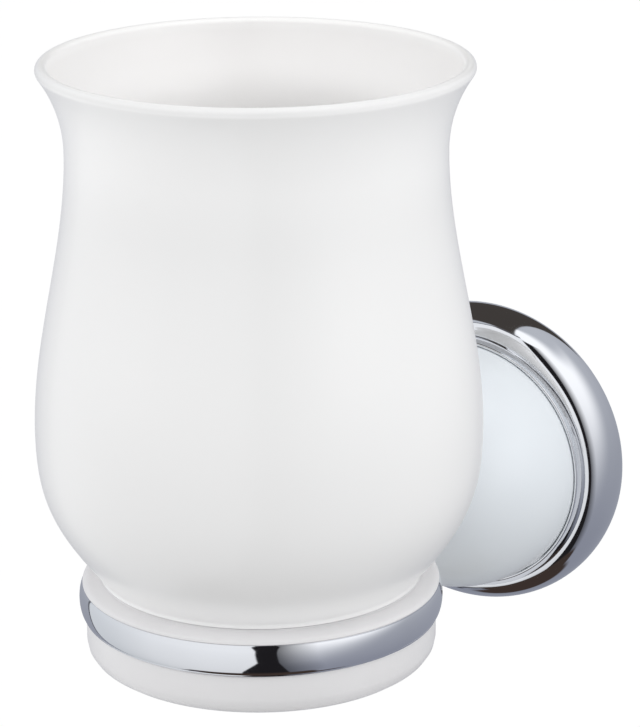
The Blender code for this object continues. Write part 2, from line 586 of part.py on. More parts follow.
def make_grub_screw(parent):
    """The socket screw under the rosette, its cone in the wall plate's groove."""
    tip = PLATE_RADIUS - GROOVE_DEPTH + SEAT_GAP * math.sqrt(2)
    outer = ROSETTE_RADIUS - GRUB_SINK
    outline = [(0, -tip), (GRUB_RADIUS, -tip - GRUB_RADIUS), (GRUB_RADIUS, -outer), (0, -outer)]
    grub = turned("grub_screw", outline, parent, steel("grub_steel"), SMALL_STEPS)
    grub.location.y = -GROOVE_DISTANCE
    socket = prism("grub_socket", hexagon(GRUB_SOCKET_RADIUS), -outer - CUT_OVERRUN,
                   -outer + GRUB_SOCKET_DEPTH, grub)
    cut(grub, socket)
    return grub


def build():
    for item in list(bpy.data.objects):
        bpy.data.objects.remove(item)
    wall_axis = empty("wall_axis", (0, 0, 0), math.radians(90))
    cup_axis = empty("cup_axis", (0, -CUP_REACH, 0))
    lift = empty("tumbler_lift", (0, -CUP_REACH, TUMBLER_FOOT))
    make_tumbler(lift)
    make_seat_cup(cup_axis)
    ring = make_holder_ring(cup_axis)
    make_ring_screw(wall_axis, ring)
    make_arm_post(wall_axis, cup_axis)
    make_arm_collar(wall_axis)
    make_flat_ring("tip_washer", STUD_BORE_RADIUS, DOME_LAND_RADIUS, TIP_WASHER_BACK, TIP_WASHER_THICKNESS,
                   wall_axis, moulding("tip_washer_plastic"), SMALL_STEPS)
    make_dome(wall_axis)
    make_flat_ring("dome_gasket", DOME_RADIUS - GASKET_WIDTH, DOME_RADIUS, GASKET_BACK, GASKET_THICKNESS,
                   wall_axis, moulding("gasket_rubber", (0.08, 0.08, 0.08)))
    make_rosette(wall_axis)
    make_stud(wall_axis)
    make_flat_ring("stud_washer", STUD_BORE_RADIUS, WASHER_RADIUS, WASHER_FRONT - WASHER_THICKNESS,
                   WASHER_THICKNESS, wall_axis, steel("washer_steel"), SMALL_STEPS)
    make_lock_washer(wall_axis)
    make_stud_nut(wall_axis)
    make_wall_plate(wall_axis)
    make_grub_screw(None)
    for place, side in (("upper", 1), ("lower", -1)):
        make_wall_screw(f"wall_screw_{place}", side, wall_axis)
        make_wall_plug(f"wall_plug_{place}", side, wall_axis)


build()
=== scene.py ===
import math

import bmesh
import bpy
from mathutils import Matrix, Vector
from mathutils.geometry import interpolate_bezier


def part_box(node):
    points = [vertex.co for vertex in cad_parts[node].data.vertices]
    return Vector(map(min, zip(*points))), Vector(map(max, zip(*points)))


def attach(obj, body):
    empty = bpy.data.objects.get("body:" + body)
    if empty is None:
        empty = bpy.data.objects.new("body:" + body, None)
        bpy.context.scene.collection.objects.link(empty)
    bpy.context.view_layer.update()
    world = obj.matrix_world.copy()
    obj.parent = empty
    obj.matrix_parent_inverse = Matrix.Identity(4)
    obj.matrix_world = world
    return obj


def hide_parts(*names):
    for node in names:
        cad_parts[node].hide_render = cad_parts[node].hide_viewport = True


# A wall tumbler holder. The wall is the plane Y = 0, the room is on its -Y side and Z is up.
# Outlines and sizes are in millimetres, and a piece becomes metres as it is finished.
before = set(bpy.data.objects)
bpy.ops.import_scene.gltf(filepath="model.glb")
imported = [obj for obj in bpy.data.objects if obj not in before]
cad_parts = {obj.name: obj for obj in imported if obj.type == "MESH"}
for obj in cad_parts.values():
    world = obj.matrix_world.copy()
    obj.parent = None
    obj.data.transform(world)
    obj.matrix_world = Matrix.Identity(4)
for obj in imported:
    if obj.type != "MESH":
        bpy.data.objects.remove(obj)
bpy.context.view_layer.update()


# Wall plate, screws and plugs. A die-cast zinc disc is held by two countersunk zinc-plated screws
# in slit nylon plugs. The rosette hides all of it, and it shows only from behind.

MM = 0.001


class Wire:
    """One output of a node. Arithmetic on it adds the Math nodes that work it out."""

    def __init__(self, nodes, socket):
        self.nodes = nodes
        self.socket = socket

    def other(self, output):
        """Another output of the same node."""
        return Wire(self.nodes, self.socket.node.outputs[output])

    def math(self, operation, *values):
        return self.nodes.node("ShaderNodeMath", {"operation": operation}, dict(enumerate(values)))

    def __add__(self, other):
        return self.math("ADD", self, other)

    def __sub__(self, other):
        return self.math("SUBTRACT", self, other)

    def __rsub__(self, other):
        return self.math("SUBTRACT", other, self)

    def __mul__(self, other):
        return self.math("MULTIPLY", self, other)

    def __abs__(self):
        return self.math("ABSOLUTE", self)

    __radd__ = __add__
    __rmul__ = __mul__


class Nodes:
    """The nodes of a finish, or of the light in the room."""

    def __init__(self, tree):
        self.tree = tree

    def node(self, kind, settings=None, values=None, output=0):
        """Adds a node, sets its settings, then its sockets, and gives back one of its outputs."""
        made = self.tree.nodes.new(kind)
        for key, value in (settings or {}).items():
            setattr(made, key, value)
        self.feed(made, values or {})
        return Wire(self, made.outputs[output])

    def feed(self, made, values):
        """Links sockets to wires, and sets the others to numbers and colours."""
        for key, value in values.items():
            socket = made.inputs[key]
            if isinstance(value, Wire):
                self.tree.links.new(value.socket, socket)
            elif socket.type == "RGBA":
                socket.default_value = (*value, 1)
            else:
                socket.default_value = value


class Finish(Nodes):
    """A material of procedural nodes round one Principled surface, in object coordinates."""

    def __init__(self, name, **constants):
        self.material = bpy.data.materials.new(name)
        self.material.use_nodes = True
        super().__init__(self.material.node_tree)
        self.surface = self.tree.nodes["Principled BSDF"]
        self.give(**constants)
        self.place = self.node("ShaderNodeTexCoord", output="Object")

    def noise(self, scale, detail=3):
        values = {"Vector": self.place, "Scale": scale, "Detail": detail}
        return self.node("ShaderNodeTexNoise", values=values)

    def spread(self, wire, low, high, to_low=0, to_high=1):
        """Stretches the part of a value between low and high over another range, and clamps it."""
        values = {"Value": wire, "From Min": low, "From Max": high,
                  "To Min": to_low, "To Max": to_high}
        return self.node("ShaderNodeMapRange", {"clamp": True}, values)

    def step(self, wire, low, high):
        """Rises smoothly from 0 at low to 1 at high."""
        values = {"Value": wire, "From Min": low, "From Max": high}
        return self.node("ShaderNodeMapRange", {"interpolation_type": "SMOOTHSTEP"}, values)

    def blend(self, amount, colour, other):
        """Mixes two colours. Inputs 6 and 7 and output 2 are the Mix node's colour sockets."""
        values = {0: amount, 6: colour, 7: other}
        return self.node("ShaderNodeMix", {"data_type": "RGBA"}, values, 2)

    def mottle(self, noise, low, high, colour, other):
        """Clouds of a second colour, where a noise rises from low to high."""
        return self.blend(self.spread(noise, low, high), colour, other)

    def bump(self, height, depth):
        """Fine relief, its depth in millimetres."""
        return self.node("ShaderNodeBump", values={"Height": height, "Distance": depth * MM})

    def give(self, **inputs):
        """Feeds the surface, and gives back the material."""
        self.feed(self.surface, {key.replace("_", " "): value for key, value in inputs.items()})
        return self.material


def dress(node, material):
    """Gives a carried-over node its finish."""
    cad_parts[node].data.materials.clear()
    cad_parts[node].data.materials.append(material)


zinc_grey, zinc_stain = (0.56, 0.56, 0.57), (0.47, 0.47, 0.49)
zinc = Finish("cast_zinc", Metallic=1.0)
grain = zinc.noise(2600, 4)
dress("wall_plate", zinc.give(
    Base_Color=zinc.mottle(zinc.noise(160, 2), 0.35, 0.7, zinc_grey, zinc_stain),
    Roughness=zinc.spread(grain, 0.3, 0.7, 0.42, 0.6),
    Normal=zinc.bump(grain, 0.04)))

steel_warm, steel_cool = (0.64, 0.64, 0.62), (0.55, 0.56, 0.58)
plated = Finish("zinc_plated_steel", Metallic=1.0)
streak = plated.noise(900)
plated_steel = plated.give(
    Base_Color=plated.mottle(plated.noise(120), 0.4, 0.65, steel_warm, steel_cool),
    Roughness=plated.spread(streak, 0.3, 0.7, 0.24, 0.4),
    Normal=plated.bump(streak, 0.01))
for node in ("wall_screw_upper", "wall_screw_lower", "grub_screw", "stud", "stud_nut",
             "stud_washer", "lock_washer", "ring_screw"):
    dress(node, plated_steel)

plug_grey, plug_shade = (0.44, 0.45, 0.47), (0.38, 0.39, 0.41)
nylon = Finish("plug_nylon", Metallic=0.0)
nylon_grey = nylon.give(
    Base_Color=nylon.mottle(nylon.noise(500), 0.35, 0.7, plug_grey, plug_shade),
    Roughness=nylon.spread(nylon.noise(1500), 0.3, 0.7, 0.45, 0.62),
    Normal=nylon.bump(nylon.noise(2400), 0.03))
for node in ("wall_plug_upper", "wall_plug_lower"):
    dress(node, nylon_grey)


# Rosette. A brass turning, polished and chrome plated: one full roll from the wall to its crest, a
# narrow slope inside the crest and a small bead round the dome. It slides over the wall plate, and
# a socket screw through a hole in its underside holds it there.

WALL_AXIS = Matrix.Rotation(math.radians(90), 4, "X")
SHARP_BEND = math.radians(38)
MERGE_DISTANCE = 0.001


def arc(centre, radius, start, end, steps):
    """Points round part of a circle, between two angles in degrees."""
    angles = [math.radians(start + (end - start) * step / steps) for step in range(steps + 1)]
    return [(centre[0] + radius * math.cos(a), centre[1] + radius * math.sin(a)) for a in angles]


def sweep(start, pull_start, pull_end, end, steps):
    """Points along a curve with two handles, without its first point."""
    knots = [Vector((*point, 0)) for point in (start, pull_start, pull_end, end)]
    return [(point.x, point.y) for point in interpolate_bezier(*knots, steps + 1)[1:]]


def beside(point, out, up):
    return point[0] + out, point[1] + up


def turned(name, outline, axis, steps=160, soften=None):
    """Turns an outline of (radius, height) round an axis. soften rounds its numbered corners."""
    bm = bmesh.new()
    points = [bm.verts.new((radius * MM, 0, height * MM)) for radius, height in outline]
    for pair in zip(points, points[1:]):
        bm.edges.new(pair)
    if outline[0][0] > 0:
        bm.edges.new((points[-1], points[0]))
    for corner_radius, corners in (soften or {}).items():
        bmesh.ops.bevel(bm, geom=[points[index] for index in corners], offset=corner_radius * MM,
                        offset_type="OFFSET", segments=4, profile=0.5, affect="VERTICES",
                        material=-1)
    bmesh.ops.spin(bm, geom=bm.verts[:] + bm.edges[:], cent=(0, 0, 0), axis=(0, 0, 1),
                   angle=math.tau, steps=steps, use_merge=True)
    bmesh.ops.remove_doubles(bm, verts=bm.verts, dist=MERGE_DISTANCE * MM)
    bmesh.ops.transform(bm, matrix=axis, verts=bm.verts)
    return finished(name, bm)


def finished(name, bm):
    """Faces outwards, smooth across gentle bends and sharp at real edges."""
    bmesh.ops.recalc_face_normals(bm, faces=bm.faces)
    mesh = bpy.data.meshes.new(name)
    bm.to_mesh(mesh)
    bm.free()
    mesh.shade_smooth()
    mesh.set_sharp_from_angle(angle=SHARP_BEND)
    piece = bpy.data.objects.new(name, mesh)
    bpy.context.scene.collection.objects.link(piece)
    return piece


def cut_away(piece, tool):
    """Takes the tool's shape out of the piece, and the tool out of the scene."""
    cut = piece.modifiers.new("cut", "BOOLEAN")
    cut.object = tool
    cut.solver = "EXACT"
    evaluated = piece.evaluated_get(bpy.context.evaluated_depsgraph_get())
    left = bpy.data.meshes.new_from_object(evaluated)
    piece.modifiers.clear()
    piece.data = left
    left.set_sharp_from_angle(angle=SHARP_BEND)
    bpy.data.objects.remove(tool)


def fit(piece, node, material):
    """The piece stands for a node, which is hidden, and rides on its body."""
    piece.data.materials.append(material)
    body = "tumbler" if node == "tumbler" else "holder"
    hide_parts(node)
    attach(piece, body)


def chrome_plate(name):
    """Chrome over polished metal: a mirror with faint buffing haze and a few soft water marks."""
    clean = (0.83, 0.84, 0.86)
    mark_dimming = 0.94
    marked = tuple(value * mark_dimming for value in clean)
    plate = Finish(name, Metallic=1.0)
    haze = plate.noise(260, 4)
    marks = plate.noise(55, 2)
    dull = plate.spread(marks, 0.6, 0.75, 0, 0.05) + plate.spread(haze, 0.3, 0.8, 0.035, 0.07)
    return plate.give(
        Base_Color=plate.mottle(marks, 0.45, 0.8, clean, marked),
        Roughness=dull,
        Normal=plate.bump(haze, 0.004))


rosette_low, rosette_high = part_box("rosette")
over_solid = 0.1
rosette_radius = rosette_high.x / MM + over_solid
roll_width = 5.4
roll_rise = 7.0
roll_distance = 2.6
roll_start = -math.degrees(math.asin(roll_distance / roll_rise))
crest_angle = 76
crest_radius = rosette_radius - roll_width
crest_width = 0.4
crest_drop = 0.05
crest_pull = (-0.17, 0.04)
slope_pull = (0.12, 0.08)
slope_width = 0.85
slope_drop = 0.55
bead_radius = 0.32
bead_outside_crest = 0.02
bead_outer = crest_radius + bead_outside_crest
bead_top = -rosette_low.y / MM
web_below_bead = 1.7
web_front = bead_top - web_below_bead
web_thickness = 2.8
cavity_depth = web_front - web_thickness
cavity_radius = 24.8
stud_bore = 3.3
dome_seat = bead_outer - 2 * bead_radius
outline = []
for out_share, up_share in arc((0, 0), 1, roll_start, crest_angle, 40):
    outline.append((crest_radius + roll_width * out_share, roll_distance + roll_rise * up_share))
crest = outline[-1]
slope_top = beside(crest, -crest_width, -crest_drop)
slope_foot = slope_top[1] - slope_drop
outline += sweep(crest, beside(crest, *crest_pull), beside(slope_top, *slope_pull), slope_top, 8)
outline += [(slope_top[0] - slope_width, slope_foot), (bead_outer, slope_foot)]
outline += arc((bead_outer - bead_radius, bead_top - bead_radius), bead_radius, 0, 180, 14)
outline += [(dome_seat, web_front), (stud_bore, web_front), (stud_bore, cavity_depth)]
outline += [(cavity_radius, cavity_depth), (cavity_radius, 0)]
rosette = turned("rosette_cover", outline, WALL_AXIS)

grub_low, grub_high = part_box("grub_screw")
grub_radius = grub_high.x / MM
grub_distance = -(grub_low.y + grub_high.y) / 2
hole_play = 0.1
hole_radius = (grub_radius + hole_play) * MM
drill_length = 12
bm = bmesh.new()
bmesh.ops.create_cone(bm, cap_ends=True, segments=40, radius1=hole_radius, radius2=hole_radius,
                      depth=drill_length * MM)
bmesh.ops.translate(bm, verts=bm.verts, vec=(0, -grub_distance, grub_low.z))
cut_away(rosette, finished("grub_hole_drill", bm))
fit(rosette, "rosette", chrome_plate("rosette_chrome"))


# Dome and its gasket. Glazed porcelain, slip cast and fired, its white glaze painted cooler and
# darker than the tumbler's: a painted reflection of cool light and painted shade. It sits on a
# flat rubber ring on the rosette's web and is clamped through its bore by the stud.


def glaze(name, colour, thin, gloss=0.5, painted_light=None):
    """A clear gloss over fired white clay: the faintest waves in the glaze and in its whiteness.
    Where a function for them is given, painted light and shade go over that white.
    """
    glass = Finish(name, Coat_Weight=0.15, Coat_Roughness=0.12, IOR=1.5, Specular_IOR_Level=gloss)
    waves = glass.noise(26, 1)
    ripple = glass.noise(60, 1)
    white = glass.mottle(waves, 0.3, 0.75, colour, thin)
    return glass.give(
        Base_Color=painted_light(glass, white) if painted_light else white,
        Roughness=glass.spread(ripple, 0.3, 0.7, 0.28, 0.3),
        Normal=glass.bump(waves, 0.01))


dome_low, dome_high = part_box("dome")
bead_gap = 0.12
dome_radius = dome_seat - bead_gap
dome_base = -dome_high.y / MM
dome_tip = -dome_low.y / MM
dome_land = 7.6
land_angle = math.acos(dome_land / dome_radius)
dome_length = (dome_tip - dome_base) / math.sin(land_angle)
base_width = 4
base_recess = 1
bore_edge = 0.4
recess_radius = dome_radius - (base_width + base_recess)
outline = [(stud_bore, dome_base + base_recess), (recess_radius, dome_base + base_recess)]
outline += [(dome_radius - base_width, dome_base)]
for share, rise in arc((0, 0), 1, 0, math.degrees(land_angle), 60):
    outline.append((share * dome_radius, dome_base + rise * dome_length))
outline += [(stud_bore, dome_tip)]
dome = turned("dome_porcelain", outline, WALL_AXIS, soften={bore_edge: [len(outline) - 2]})
# Painted reflection and shade: the dome's white is painted cool and darker; the noise between the
# two tones is its own.
dome_painted_cool, dome_mottle_painted_cool = (0.772, 0.812, 0.846), (0.752, 0.792, 0.832)
fit(dome, "dome", glaze("dome_glaze", dome_painted_cool, dome_mottle_painted_cool))

rubber_black, rubber_dust = (0.06, 0.06, 0.06), (0.09, 0.09, 0.09)
rubber = Finish("gasket_rubber", Roughness=0.8)
dress("dome_gasket", rubber.give(
    Base_Color=rubber.mottle(rubber.noise(700), 0.3, 0.7, rubber_black, rubber_dust),
    Normal=rubber.bump(rubber.noise(1800), 0.03)))


# Arm. A chrome-plated post, its tapered end hollowed to lie against the ring, and a turned collar
# at the dome's tip, kept off the glaze by a plastic washer. The stud clamps them to the rosette.

washer_white, washer_shade = (0.82, 0.82, 0.80), (0.76, 0.76, 0.74)
washer = Finish("washer_plastic", Roughness=0.5)
dress("tip_washer", washer.give(
    Base_Color=washer.mottle(washer.noise(600), 0.3, 0.7, washer_white, washer_shade),
    Normal=washer.bump(washer.noise(1500), 0.02)))
arm_chrome = chrome_plate("arm_chrome")

post_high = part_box("arm_post")[1]
post_radius = post_high.x / MM
post_back = -post_high.y / MM
post_taper = 53.8
post_end = 60.8
post_tip = 2.7
back_edge = 0.25
stud_play = 0.3
stud_end = -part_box("stud")[0].y / MM + stud_play
screw_bore = 1.8
screw_bore_end = stud_end + 1.7
outline = [(0, stud_end), (stud_bore, stud_end), (stud_bore, post_back), (post_radius, post_back)]
outline += [(post_radius, post_taper)]
outline += sweep(outline[-1], (post_tip, post_taper), (post_tip, (post_taper + post_end) / 2),
                 (post_tip, post_end), 24)
outline += [(screw_bore, post_end), (screw_bore, screw_bore_end), (0, screw_bore_end)]
post = turned("arm_post_turned", outline, WALL_AXIS, steps=128, soften={back_edge: [3]})

# The ring's box ends at its screw hole, so this saddle's axis lies 0.07 in front of the ring's.
ring_low, ring_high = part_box("holder_ring")
saddle_play = 0.3
saddle = ring_high.x / MM + saddle_play
saddle_reach = 9
saddle_axis = Matrix.Translation((0, (ring_low.y + ring_high.y) / 2, 0))
outline = [(0, -saddle_reach), (saddle, -saddle_reach), (saddle, saddle_reach), (0, saddle_reach)]
cut_away(post, turned("saddle_cutter", outline, saddle_axis, steps=256))
fit(post, "arm_post", arm_chrome)

collar_low, collar_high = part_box("arm_collar")
collar_radius = collar_high.x / MM
collar_back = -collar_high.y / MM
collar_front = -collar_low.y / MM
collar_foot = (collar_front - collar_back) / 3
collar_waist = 6.2
waist_start = collar_back + collar_foot
front_edge = 0.2
outline = [(stud_bore, collar_back)]
outline += arc((collar_radius - collar_foot / 2, collar_back + collar_foot / 2), collar_foot / 2,
               -90, 90, 16)
outline += sweep(outline[-1], (collar_waist, waist_start), (collar_waist, waist_start),
                 (collar_waist, collar_front), 12)
outline += [(stud_bore, collar_front)]
collar = turned("arm_collar_turned", outline, WALL_AXIS, steps=96,
                soften={front_edge: [len(outline) - 2]})
fit(collar, "arm_collar", arm_chrome)


# Holder ring. A chrome-plated band with a bulged outer face and a flat inner one. A countersunk
# screw from inside it, which the seat cup covers, holds it to the post's end.

tumbler_low, tumbler_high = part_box("tumbler")
reach = -(tumbler_low.y + tumbler_high.y) / 2
CUP_AXIS = Matrix.Translation((0, -reach, 0))
ring_widest = ring_high.x / MM
ring_top = ring_high.z / MM
ring_inner = ring_widest - 2.5
ring_shoulder = ring_widest - 0.6
shoulder_drop = 0.12
ring_hem = ring_widest - 0.7
hem_height = 0.4
upper_pull = ring_top - 1.2
lower_pull = -ring_top / 2
bulge = (8 * ring_widest - ring_shoulder - ring_hem) / 6
outline = [(ring_inner, -ring_top), (ring_hem, -ring_top), (ring_hem, -ring_top + hem_height)]
outline += sweep(outline[-1], (bulge, lower_pull), (bulge, upper_pull),
                 (ring_shoulder, ring_top - shoulder_drop), 28)
outline += [(ring_shoulder, ring_top), (ring_inner, ring_top)]
last = len(outline) - 1
hem_edge, fine_edge = 0.38, 0.1
ring = turned("holder_ring_band", outline, CUP_AXIS, steps=256,
              soften={hem_edge: [1], fine_edge: [0, last - 1, last]})
fit(ring, "holder_ring", chrome_plate("ring_chrome"))


# Seat cup. A satin white moulding snapped into the ring: a rounded flange lies on the ring, a
# groove grips it, and the skirt below has a round lower corner, paler there with painted light.
# Its floor has a drain hole.

seat_low, seat_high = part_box("seat_cup")
flange_top = seat_high.z / MM
flange_radius = ring_shoulder
flange_gap = 0.03
flange_bottom = ring_top + flange_gap
flange_edge = 0.15
flange_roll = (3.2, 1.25)
skirt_radius = ring_hem - 0.5
seat_bottom = seat_low.z / MM
seat_floor = flange_top - 13
groove = ring_inner - 0.3
seat_bore = groove - 1.3
drain = 6
outline = [(seat_bore, seat_floor), (drain, seat_floor), (drain, seat_bottom)]
outline += [(skirt_radius, seat_bottom), (skirt_radius, -flange_bottom), (groove, -flange_bottom)]
outline += [(groove, flange_bottom), (flange_radius, flange_bottom)]
for out_share, up_share in arc((0, 0), 1, 0, 90, 14):
    outline.append((flange_radius - flange_roll[0] * (1 - out_share),
                    flange_bottom + flange_edge + flange_roll[1] * up_share))
outline += [(seat_bore, flange_top)]
drain_edge, skirt_corner, skirt_edge, under_flange, bore_edge = 0.5, 3.4, 0.25, 0.08, 0.2
seat = turned("seat_cup_moulding", outline, CUP_AXIS, steps=200,
              soften={drain_edge: [1, 2], skirt_corner: [3], skirt_edge: [4], under_flange: [7],
                      bore_edge: [len(outline) - 1]})

seat_white, seat_shade = (0.765, 0.76, 0.77), (0.745, 0.74, 0.75)
# Painted light: the lower corner of the skirt is painted paler than the rest.
corner_painted_light = (0.87, 0.865, 0.875)
corner_top, corner_foot = 8.2, 10.4
moulding = Finish("seat_moulding")
cloudy = moulding.mottle(moulding.noise(90), 0.3, 0.7, seat_white, seat_shade)
below = moulding.node("ShaderNodeSeparateXYZ", values={0: moulding.place}, output="Z") * -1
painted_light_corner = moulding.step(below, corner_top * MM, corner_foot * MM)
fit(seat, "seat_cup", moulding.give(
    Base_Color=moulding.blend(painted_light_corner, cloudy, corner_painted_light),
    Roughness=moulding.spread(moulding.noise(500, 4), 0.3, 0.7, 0.32, 0.45),
    Normal=moulding.bump(moulding.noise(1200, 4), 0.01)))


# Tumbler. Slip-cast white clay under a clear gloss glaze, wiped off the foot ring it was fired on.
# It stands loose in the seat cup, and the joint lifts it out.

foot_height = tumbler_low.z / MM
rim_height = tumbler_high.z / MM
belly_radius = tumbler_high.x / MM
belly_height = foot_height + 40.2
foot_radius = seat_bore - 0.3
foot_corner = 1.4
foot_ring = 4.0
foot_recess = 0.8
foot_inner = foot_radius - foot_corner - foot_ring
cove_foot = flange_top + 0.02
cove_ledge = 0.5
cove_radius = 1.8
cove_angle = math.radians(40)
neck_radius = 33.4
neck_height = rim_height - 15.7
rim_radius = 38.0
lip_radius = 1.1
wall = 3.0
floor_thickness = 4.4
floor_corner = 6.0
cove_share, belly_share, neck_share, floor_share = 0.5, 0.43, 0.34, 0.29

outline = [(0, foot_height + foot_recess), (foot_inner - foot_recess, foot_height + foot_recess)]
outline += [(foot_inner, foot_height), (foot_radius, foot_height), (foot_radius, cove_foot)]
outline += arc((foot_radius + cove_ledge + cove_radius, cove_foot), cove_radius,
               180, 180 - math.degrees(cove_angle), 10)
low = outline[-1]
rise = belly_height - low[1]
pull = rise * cove_share
outline += sweep(low, beside(low, pull * math.sin(cove_angle), pull * math.cos(cove_angle)),
                 (belly_radius, belly_height - rise * belly_share),
                 (belly_radius, belly_height), 28)
pull = (neck_height - belly_height) * neck_share
outline += sweep(outline[-1], (belly_radius, belly_height + pull),
                 (neck_radius, neck_height - pull), (neck_radius, neck_height), 36)
lip = (rim_radius - lip_radius, rim_height - lip_radius)
out, up = lip[0] - neck_radius, lip[1] - neck_height
flare_radius = (out ** 2 + up ** 2 - lip_radius ** 2) / (2 * (out + lip_radius))
lean = math.degrees(math.atan2(up, flare_radius - out))
outline += arc((neck_radius + flare_radius, neck_height), flare_radius, 180, 180 - lean, 24)[1:]
outline += arc(lip, lip_radius, -lean, 180, 18)[1:]

inner_neck, inner_belly = neck_radius - wall, belly_radius - wall
mouth = outline[-1]
mouth_pull = (mouth[1] - neck_height) / 2
outline += sweep(mouth, (inner_neck + mouth_pull / 2, mouth[1] - mouth_pull),
                 (inner_neck, neck_height + mouth_pull), (inner_neck, neck_height), 14)
outline += sweep(outline[-1], (inner_neck, neck_height - pull), (inner_belly, belly_height + pull),
                 (inner_belly, belly_height), 28)
floor_round = (foot_radius - wall - floor_corner, foot_height + floor_thickness + floor_corner)
low = beside(floor_round, floor_corner, 0)
drop = belly_height - low[1]
outline += sweep(outline[-1], (inner_belly, belly_height - drop * belly_share),
                 beside(low, wall / 2, drop * floor_share), low, 24)
outline += arc(floor_round, floor_corner, 0, -90, 12)[1:]
outline += [(0, foot_height + floor_thickness)]
ring_edge, foot_edge = 0.3, 1.38
tumbler = turned("tumbler_glazed", outline, CUP_AXIS, steps=200,
                 soften={ring_edge: [1, 2], foot_edge: [3]})

glaze_white, glaze_shade = (0.86, 0.86, 0.86), (0.84, 0.84, 0.84)
# Painted light on the flare and cove, painted shade on the outside of the lip, and painted light
# inside the cup, strongest deep down.
flare_painted_light = (0.94, 0.94, 0.94)
lip_painted_shade = (0.81, 0.81, 0.81)
deep_painted_light = (0.985, 0.98, 0.975)
throat_painted_light = (0.875, 0.865, 0.86)
mouth_painted_light = (0.90, 0.895, 0.89)


def painted_light_by_height(glass, white):
    """Painted light and shade, alike all round: flare and cove painted paler, the lip's highlight
    painted darker, and the inside painted palest deep down. Tones matched to the photo, alike all
    round: flare, cove, lip, and the inside by depth.
    """
    height = glass.node("ShaderNodeSeparateXYZ", values={0: glass.place}, output="Z")
    from_axis = glass.node("ShaderNodeVectorMath", {"operation": "MULTIPLY_ADD"},
                           {0: glass.place, 1: (1, 1, 0), 2: (0, reach, 0)})
    outward = glass.node("ShaderNodeVectorMath", {"operation": "NORMALIZE"}, {0: from_axis})
    facing = glass.node("ShaderNodeVectorMath", {"operation": "DOT_PRODUCT"},
                        {0: glass.place.other("Normal"), 1: outward}, "Value")

    def rising(start, end):
        return glass.step(height, start * MM, end * MM)

    outside = glass.blend(rising(72, 92) + rising(13, 6), white, flare_painted_light)
    outside = glass.blend(rising(96.9, 97.6) * glass.step(facing, 0.1, 0.6), outside, lip_painted_shade)
    inside = glass.blend(rising(80, 93), deep_painted_light, throat_painted_light)
    inside = glass.blend(rising(96.0, 97.4), inside, mouth_painted_light)
    return glass.blend(glass.step(facing, -0.5, 0.1), inside, outside)


fit(tumbler, "tumbler", glaze("tumbler_glaze", glaze_white, glaze_shade, 0.3, painted_light_by_height))


# Floor, lamps and studio. The floor is plain pale paper well below the piece. Soft boxes light it
# from the left, the right and above, and a tent that only reflections see, with its pale panels
# and dark gaps, is what the chrome mirrors.

WHITE = (1, 1, 1)


def seen_plainly(nodes):
    """1 for what the camera, a mirror or glass sees, and 0 for the light that falls on pieces."""
    ray = nodes.node("ShaderNodeLightPath", output="Is Camera Ray")
    return ray + ray.other("Is Glossy Ray") + ray.other("Is Transmission Ray")


floor_level = -0.6
floor_reach = 6
bm = bmesh.new()
bmesh.ops.create_grid(bm, x_segments=1, y_segments=1, size=floor_reach)
bmesh.ops.translate(bm, verts=bm.verts, vec=(0, 0, floor_level))
floor = finished("floor", bm)
paper_grey = (0.70, 0.70, 0.70)
backlight = 1.02
backlit_share = 0.97
paper = Finish("floor_paper", Roughness=0.9, Base_Color=paper_grey, Emission_Color=WHITE)
backlit = paper.node("ShaderNodeEmission", values={"Color": WHITE, "Strength": backlight})
lit = Wire(paper, paper.surface.outputs[0])
shown = seen_plainly(paper) * backlit_share
sheet = paper.node("ShaderNodeMixShader", values={0: shown, 1: lit, 2: backlit})
paper.feed(paper.tree.nodes["Material Output"], {"Surface": sheet})
floor.data.materials.append(paper.material)

world = bpy.data.worlds.new("studio")
bpy.context.scene.world = world
world.use_nodes = True
room = Nodes(world.node_tree)
room_light = 0.69
fill_node = room.tree.nodes["Background"]
room.feed(fill_node, {"Color": WHITE, "Strength": room_light})
fill = Wire(room, fill_node.outputs[0])
backdrop = room.node("ShaderNodeBackground", values={"Color": WHITE, "Strength": 1.0})
sky = room.node("ShaderNodeMixShader", values={0: seen_plainly(room), 1: fill, 2: backdrop})
room.feed(room.tree.nodes["World Output"], {"Surface": sky})

lit_point = Matrix.Translation((0, -0.09, 0.03))


def soft_box(name, azimuth, elevation, distance, size, power):
    """A square lamp that looks at the holder, placed by its direction as seen from there."""
    lamp = bpy.data.lights.new(name, "AREA")
    lamp.size = size
    lamp.energy = power
    holder = bpy.data.objects.new(name, lamp)
    bpy.context.scene.collection.objects.link(holder)
    turn = Matrix.Rotation(math.radians(azimuth), 4, "Z")
    tilt = Matrix.Rotation(math.radians(90 - elevation), 4, "X")
    holder.matrix_world = lit_point @ (turn @ tilt) @ Matrix.Translation((0, 0, distance))
    holder.visible_glossy = False


soft_box("lamp_front_left", azimuth=-48, elevation=18, distance=1.5, size=1.3, power=10.0)
soft_box("lamp_front_right", azimuth=86, elevation=16, distance=1.5, size=1.0, power=7.5)
soft_box("lamp_above", azimuth=85, elevation=68, distance=1.1, size=0.6, power=2.4)


def studio_card(card, finish, mirrored):
    """A card that only reflections see, or, where it isn't mirrored, only scattered light."""
    card.data.materials.append(finish)
    card.visible_camera = False
    card.visible_transmission = False
    card.visible_shadow = False
    card.visible_glossy = mirrored
    card.visible_diffuse = not mirrored


